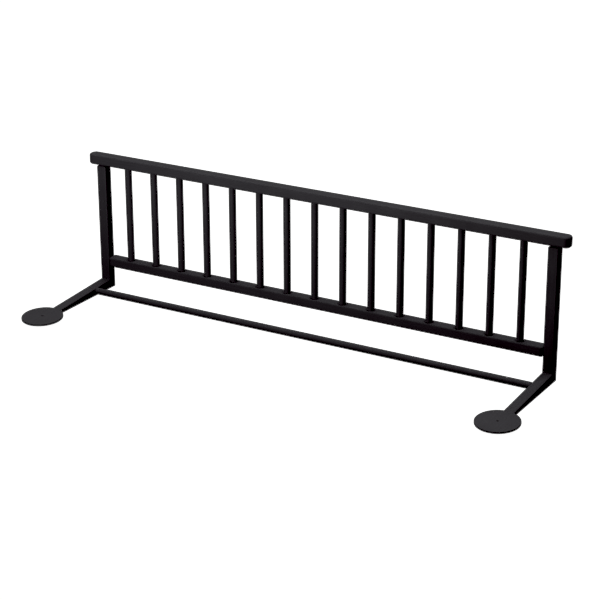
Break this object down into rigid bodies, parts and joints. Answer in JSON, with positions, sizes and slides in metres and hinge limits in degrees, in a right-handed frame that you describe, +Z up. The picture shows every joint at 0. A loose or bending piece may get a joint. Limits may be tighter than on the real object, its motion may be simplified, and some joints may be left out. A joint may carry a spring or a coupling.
{
  "type": "bed guard rail",
  "caption": "Low wooden bed guard with round spindles between two rails, on two flat arms that slide under the mattress and end in thin round discs.",
  "frame": {"origin": "centre of the footprint at ground level: middle of the length and of the depth, on the plane of the arms' undersides", "axes": "+X along the rail, +Z up; the arms point towards -Y, so the panel stands at +Y"},
  "size_m": [1.2334, 0.318, 0.329],
  "materials": {
    "lacquered_wood": "matt black lacquer over beech",
    "disc": "matt black lacquer over thin plywood",
    "screw": "black zinc-plated steel",
    "dowel_wood": "bare beech"
  },
  "bodies": {
    "frame": {"top_rail": "lacquered_wood", "bottom_rail": "lacquered_wood", "spindle_01": "lacquered_wood", "spindle_02": "lacquered_wood", "spindle_03": "lacquered_wood", "spindle_04": "lacquered_wood", "spindle_05": "lacquered_wood", "spindle_06": "lacquered_wood", "spindle_07": "lacquered_wood", "spindle_08": "lacquered_wood", "spindle_09": "lacquered_wood", "spindle_10": "lacquered_wood", "spindle_11": "lacquered_wood", "spindle_12": "lacquered_wood", "spindle_13": "lacquered_wood", "spindle_14": "lacquered_wood", "spindle_15": "lacquered_wood", "crossbar": "lacquered_wood", "left_post": "lacquered_wood", "left_arm": "lacquered_wood", "left_disc_screw": "screw", "left_top_rail_dowels": "dowel_wood", "left_bottom_rail_dowels": "dowel_wood", "left_crossbar_dowel": "dowel_wood", "right_post": "lacquered_wood", "right_arm": "lacquered_wood", "right_disc_screw": "screw", "right_top_rail_dowels": "dowel_wood", "right_bottom_rail_dowels": "dowel_wood", "right_crossbar_dowel": "dowel_wood"},
    "left_disc": {"left_disc": "disc"},
    "right_disc": {"right_disc": "disc"}
  },
  "joints": [
    {"name": "left_disc_turn", "type": "hinge", "parent": "frame", "child": "left_disc", "pos_m": [-0.5695, -0.11166, 0.0068], "axis": [0, -0.0628, 0.998], "continuous": true},
    {"name": "right_disc_turn", "type": "hinge", "parent": "frame", "child": "right_disc", "pos_m": [0.5695, -0.11166, 0.0068], "axis": [0, -0.0628, 0.998], "continuous": true}
  ]
}
